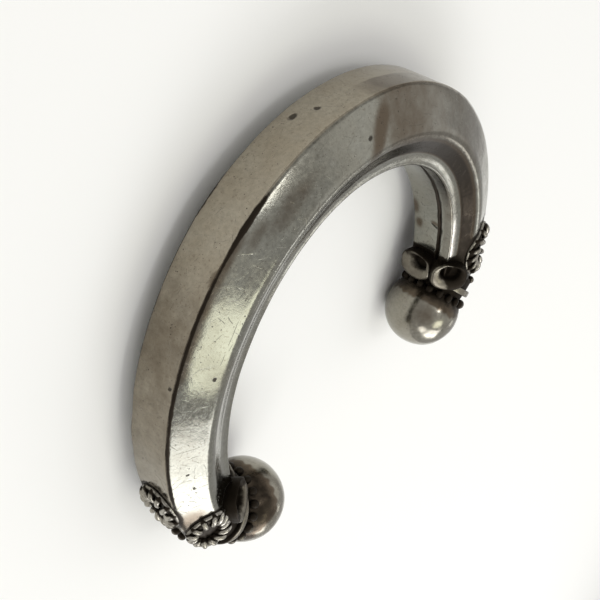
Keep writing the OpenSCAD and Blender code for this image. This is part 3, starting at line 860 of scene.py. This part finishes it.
for ring in wirework:
    name, ribs = ring[0], ring[7]
    parts = [rosette_bed(ring, BED_FINISH if ribs else WORN_FINISH)]
    # The bed's tarnish, row by row as in rosette_bed
    hollow = ([0.95, 0.95, 0.8, 0.65, 0.6, 0.7, 0.9, 1.0, 1.0, 1.0] if ribs else
              [1.1, 1.1, 1.0, 0.75, 0.45, 0.22, 0.1, 0.16, 0.32, 0.46, 0.58, 0.68, 0.75, 0.8, 0.8])
    rows = len(hollow)
    turns = np.repeat(np.linspace(0, 2 * np.pi, BED_STEPS, endpoint=False), rows)
    # Painted shade and tarnish: the corner rings are dark but for one side of their rims, left light as a painted
    # highlight, and the inner ones darker towards the back
    shade_and_tarnish = (0 if ribs else 0.45 * ease(-np.sign(ring[1]) * np.cos(turns), 0.0, 0.9) if "inner" in name else
            0.85 * ease(np.sin(turns), -0.4, 0.4) if ring[1] > 0 else 0.9 * ease(np.cos(turns), -0.5, 0.2))
    mark(parts[0].data, "crevice", np.array([hollow[k % rows] for k in range(BED_STEPS * rows)]) + shade_and_tarnish)
    if ribs:
        guides = rib_guides(ring)
        wires = grow(guide_piece("ribs_" + name, guides), RIB_TREE,
                     Wire=0.48 * MM, Crown=(ring[8] - 0.48) * MM, Slant=0.22, Finish=WIRE_FINISH)
        # The +X end's slope rosettes are the dirtiest
        mark_by_height(wires, guides, 0.25, ring[8] - 0.15 + (0.5 if "slope" in name and ring[1] > 0 else 0))
        rim = grow(path_piece("rim_" + name, [on_ring(ring, 0.97, 2 * math.pi * k / 72, 0.15) for k in range(72)]),
                   WIRE_TREE, Wire=0.36 * MM, Finish=WIRE_FINISH)
        mark(rim.data, "crevice", [0.45] * len(rim.data.vertices))
        parts += [wires, rim]
    pieces.append(gather("rosette_" + name, parts) if len(parts) > 1 else parts[0])

for end, side in SIDES.items():
    # The knob, a little out of round
    bm = bmesh.new()
    bmesh.ops.create_icosphere(bm, subdivisions=6, radius=1.0)
    ball = np.array([v.co[:] for v in bm.verts])
    faces = [[v.index for v in f.verts] for f in bm.faces]
    bm.free()
    size = KNOB_R + 0.07 * wander(ball * KNOB_R, 5.0, side) + 0.02 * wander(ball * KNOB_R, 1.8, side + 4)
    ball = ball * size[:, None]
    streaks = wander(ball * (1, 1, 0.35), 0.9, side) * 0.7 + wander(ball, 3.2, side + 2) * 0.9
    # Tarnish reaches further over the left knob on the side that faces up and in
    from_there = np.degrees(np.arccos(np.clip(unit(ball * (1, 1, 0.2)) @ (0.53, 0.85, 0), -1, 1)))
    reach = 2.6 * np.exp(-(from_there / 38) ** 2)
    border = ball[:, 2] + streaks - (reach if side < 0 else 0.9)
    shade = (0.55 + 0.3 * streaks) * (1 - ease(border, -4.6, -2.2)) + 0.05
    # Painted reflection: a soft brown patch on the right knob's middle stands in for dark surroundings it reflects
    cloud = 0.6 * np.exp(-((ball - (-6.4, 4.1, 0.6)) ** 2).sum(1) / 3.4 ** 2) if side > 0 else 0
    brown = np.maximum(1.5 * (1 - ease(border, -3.4, -1.6)), cloud)
    knob = new_piece("knob_" + end, at_knob(side, ball), faces, KNOB_FINISH,
                     {"crevice": shade, "stain_and_shade": brown, "band_reflection": brown * 0, "painted_bevel_highlight": brown * 0})
    pieces.append(face_outwards(knob))
    # The neck and the plain band round it
    back = -knob_frame(side)[2] - ROOT
    profile = [(0.5, back + 0.2), (NECK_R - 0.4, back + 0.2), (NECK_R, back + 0.7),
               (NECK_R, -9), (NECK_R - 0.05, -7), (NECK_R - 0.1, -6), (NECK_R - 0.3, -4), (NECK_R - 1, -2), (0.5, -2)]
    ring_points = lathe(profile, 96)
    neck = new_piece("neck_" + end, at_knob(side, ring_points), sweep_faces(96, len(profile), True), BED_FINISH,
                     {"crevice": np.full(len(ring_points), 0.8)})
    pieces.append(face_outwards(neck))
    edge, soft = COLLAR_W / 2, 0.28
    profile = [(NECK_R - ROOT, -edge), (COLLAR_R - soft, -edge)]
    profile += [(COLLAR_R - soft + soft * math.sin(a), -edge + soft - soft * math.cos(a))
                for a in (0.4, 0.8, 1.2, 1.57)]
    profile += [(r, -z) for r, z in profile[::-1]]
    ring_points = lathe(profile, 120)
    worn = wander(ring_points, 2.5, side)
    axes, centre, _ = knob_frame(side)
    inward = unit(-centre * (1, 1, 0))
    # Painted shade: the plain band is darker on the side towards the wrist, where it lies in the shade under the worn
    # rings
    turned_in = ease(unit(ring_points * (1, 1, 0)) @ axes.T @ inward, 0.5, 0.85)
    ring_points *= (1 + 0.006 * worn)[:, None]
    marks = np.tile([1.0, 0.75, 0.45, 0.3, 0.2, 0.1, 0.1, 0.2, 0.3, 0.45, 0.75, 1.0], 120) + 0.9 * turned_in
    band = new_piece("plain_band_" + end, at_knob(side, ring_points + (0, 0, -COLLAR_BACK)),
                     sweep_faces(120, len(profile), True), WORN_FINISH, {"crevice": marks + 0.15})
    pieces.append(face_outwards(band))
    # The granules: a ring behind the knob, and single ones between the rosettes
    beads, shade_added = [], []
    for k in range(GRAINS):
        a = 2 * math.pi * k / GRAINS
        out = np.array((math.cos(a), math.sin(a), 0))
        # Smaller on the side towards the wrist, and darker there as painted shade
        turned = axes @ out @ inward
        stout = 1 + 0.14 * noise.noise(Vector((k * 1.9, side, 2))) - 0.25 * float(ease(turned, -0.45, 0.1))
        spot = at_knob(side, [out * GRAIN_RING_R + (0, 0, -GRAIN_BACK)])[0]
        beads.append((spot, axes @ out, axes[:, 2], 1.0, stout))
        shade_added.append(0.7 * float(ease(turned, -0.5, 0.2)))
    loose = [(side * t, 0) for t in GRAIN_TURNS]
    if side > 0:
        loose += [(LAST_GRAIN_TURN, to_slope(LAST_GRAIN_TURN) - GRAIN_R), (WORN_TURN[end], to_side(WORN_TURN[end]))]
    for t, w in loose:
        up = out_of_skin(t, w)
        size = SINGLE_R / GRAIN_R
        beads.append((skin(t, w, GRAIN_UP), up, unit(np.cross(up, (0, 0.3, 1))), size, size))
        shade_added.append(0.0)
    for label, rows, added in (("granules_" + end, beads[:GRAINS], shade_added[:GRAINS]),
                               ("single_granules_" + end, beads[GRAINS:], shade_added[GRAINS:])):
        balls = grow(guide_piece(label, rows), BEAD_TREE, Radius=GRAIN_R * MM, Finish=GRAIN_FINISH)
        mark_by_height(balls, rows, 0.1, 0.8 if "single" in label else 1.05, added)
        pieces.append(balls)

for piece in pieces:
    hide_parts("kada")
    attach(piece, "root")


# The floor, the lights and the camera
def plain(name, tone, rough):
    """A material of one colour."""
    material = bpy.data.materials.new(name)
    material.use_nodes = True
    shader = next(n for n in material.node_tree.nodes if n.type == "BSDF_PRINCIPLED")
    shader.inputs["Base Color"].default_value = tone
    shader.inputs["Roughness"].default_value = rough
    return material


floor_mesh = bpy.data.meshes.new("floor")
floor_mesh.from_pydata([(-2, -2, 0), (2, -2, 0), (2, 2, 0), (-2, 2, 0)], [], [(0, 1, 2, 3)])
floor_mesh.materials.append(plain("pale_floor", colour(0.94, 0.94, 0.93), 0.9))
floor = bpy.data.objects.new("floor", floor_mesh)
bpy.context.collection.objects.link(floor)

world = bpy.data.worlds.new("studio")
world.use_nodes = True
backdrop = next(n for n in world.node_tree.nodes if n.type == "BACKGROUND")
backdrop.inputs["Color"].default_value = colour(1.0, 0.985, 0.96)
backdrop.inputs["Strength"].default_value = 0.6
bpy.context.scene.world = world


def soft_light(name, turn, rise, far, wide, tall, glow, tone=(1.0, 1.0, 1.0)):
    """A square soft light at a compass turn from +Y and a rise above the floor; glow is its brightness."""
    a, e = math.radians(turn), math.radians(rise)
    spot = Vector((math.sin(a) * math.cos(e), math.cos(a) * math.cos(e), math.sin(e))) * far
    light = bpy.data.lights.new(name, "AREA")
    light.shape, light.size, light.size_y = "RECTANGLE", wide, tall
    light.energy = glow * math.pi * wide * tall
    light.color = tone
    lamp = bpy.data.objects.new(name, light)
    lamp.location = spot
    lamp.rotation_euler = (-spot).to_track_quat("-Z", "Y").to_euler()
    bpy.context.collection.objects.link(lamp)


soft_light("window_light", -160, 39, 0.8, 0.46, 0.34, 2.9)
soft_light("low_window", -164, 31, 0.81, 0.4, 0.18, 2.0)
soft_light("second_window", -157, 71, 0.8, 0.34, 0.28, 2.4, (0.98, 1.0, 0.84))
soft_light("front_window", -121, 35, 0.8, 0.28, 0.2, 3.5)
soft_light("low_side_light", 144, 29, 0.8, 0.1, 0.08, 2.8)
soft_light("top_light", 18, 70, 0.8, 0.16, 0.1, 6.0)
soft_light("side_light", 98, 42, 1.0, 0.9, 0.8, 0.4)
soft_light("fill_light", -36, 62, 1.1, 1.4, 1.2, 0.12)

scene = bpy.context.scene
scene.view_settings.view_transform = "Standard"
# The camera is fixed to the hoop's own frame, as fitted to the photo, and lies down with the hoop
lens = bpy.data.cameras.new("camera")
lens.sensor_width, lens.lens = 36.0, 55.751
lens.shift_x, lens.shift_y = -0.052, 0.0349
lens.clip_start = 0.01
camera = bpy.data.objects.new("camera", lens)
axes = Matrix(((0.6649, 0.5890, -0.4593), (-0.0766, 0.6655, 0.7425), (0.7429, -0.4585, 0.4876)))
CAMERA_FAR = 164.58
lying = LIE.to_3x3() @ axes
spot = (LIE @ (axes.col[2] * CAMERA_FAR)) * MM
camera.matrix_world = Matrix.Translation(spot) @ lying.to_4x4()
bpy.context.collection.objects.link(camera)
scene.camera = camera
